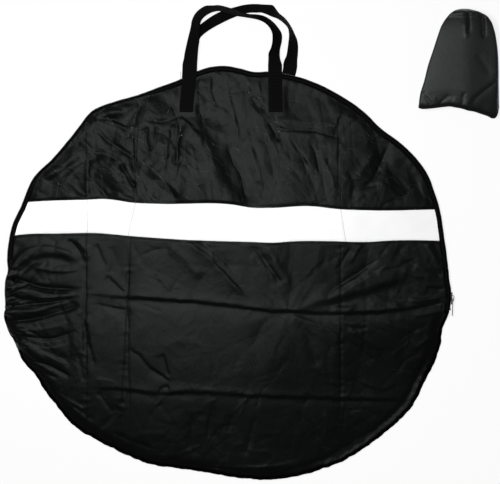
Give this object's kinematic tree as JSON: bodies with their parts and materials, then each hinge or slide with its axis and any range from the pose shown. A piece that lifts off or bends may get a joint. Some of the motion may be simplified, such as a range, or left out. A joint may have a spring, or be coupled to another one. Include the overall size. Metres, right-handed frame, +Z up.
{
  "type": "bike wheel bag",
  "caption": "Round flat cloth bag for one bicycle wheel: half-round zip, opening upper front, white band, webbing carrying handles and a small gathered storage pouch.",
  "frame": {"origin": "centre of the half-round zip's arc, on the surface that the empty bag lies on", "axes": "+Z up out of the bag's front, +Y from the middle of the bag to its handles, +X to the zip slider's parked side"},
  "size_m": [0.8781, 0.851, 0.05],
  "materials": {
    "black_nylon": "woven nylon, slightly satin",
    "white_reflective_cloth": "smooth, faintly pearly",
    "black_zip_tape": "matt",
    "black_zip_teeth": "satin",
    "dark_zip_metal": "satin",
    "black_webbing": "matt, ribbed"
  },
  "bodies": {
    "bag": {"back_panel": "black_nylon", "front_lower_panel": "black_nylon", "lower_edge_binding": "black_zip_tape", "back_zip_tape": "black_zip_tape", "back_zip_teeth": "black_zip_teeth", "closed_chain_left": "black_zip_teeth", "closed_chain_right": "black_zip_teeth", "front_tape_end_left": "black_zip_tape", "front_tape_end_right": "black_zip_tape", "zip_stop_left": "dark_zip_metal", "zip_stop_right": "dark_zip_metal", "rear_handle_end_left": "black_webbing", "rear_handle_end_right": "black_webbing", "pouch_front": "black_nylon", "pouch_back": "black_nylon"},
    "front_flap": {"front_middle_panel": "black_nylon", "reflective_band": "white_reflective_cloth", "front_upper_panel": "black_nylon", "front_zip_tape": "black_zip_tape", "front_zip_teeth": "black_zip_teeth", "front_handle_end_left": "black_webbing", "front_handle_end_right": "black_webbing"},
    "zip_slider": {"slider_body": "dark_zip_metal", "slider_inner_plate": "dark_zip_metal"},
    "zip_pull": {"pull_tab": "dark_zip_metal"},
    "front_carry_loop": {"front_handle": "black_webbing"},
    "rear_carry_loop": {"rear_handle": "black_webbing"}
  },
  "joints": [
    {"name": "flap_opens", "type": "hinge", "parent": "bag", "child": "front_flap", "pos_m": [0, 0.01, 0.0152], "axis": [1, 0, 0], "range_deg": [0, 160]},
    {"name": "slider_travel", "type": "hinge", "parent": "bag", "child": "zip_slider", "pos_m": [0, 0, 0], "axis": [0, 0, 1], "range_deg": [0, 184.3]},
    {"name": "pull_tab_flip", "type": "hinge", "parent": "zip_slider", "child": "zip_pull", "pos_m": [0.40041, -0.01518, 0.0085], "axis": [0, 0, 1], "range_deg": [0, 175]},
    {"name": "front_handle_swing", "type": "hinge", "parent": "front_flap", "child": "front_carry_loop", "pos_m": [0, 0.4, 0.017], "axis": [1, 0, 0], "range_deg": [0, 135]},
    {"name": "rear_handle_swing", "type": "hinge", "parent": "bag", "child": "rear_carry_loop", "pos_m": [0, 0.402, 0.0015], "axis": [1, 0, 0], "range_deg": [0, 81]}
  ],
  "couplings": [
    {"joint": "rear_handle_swing", "follows": "front_handle_swing", "ratio": 0.6}
  ]
}
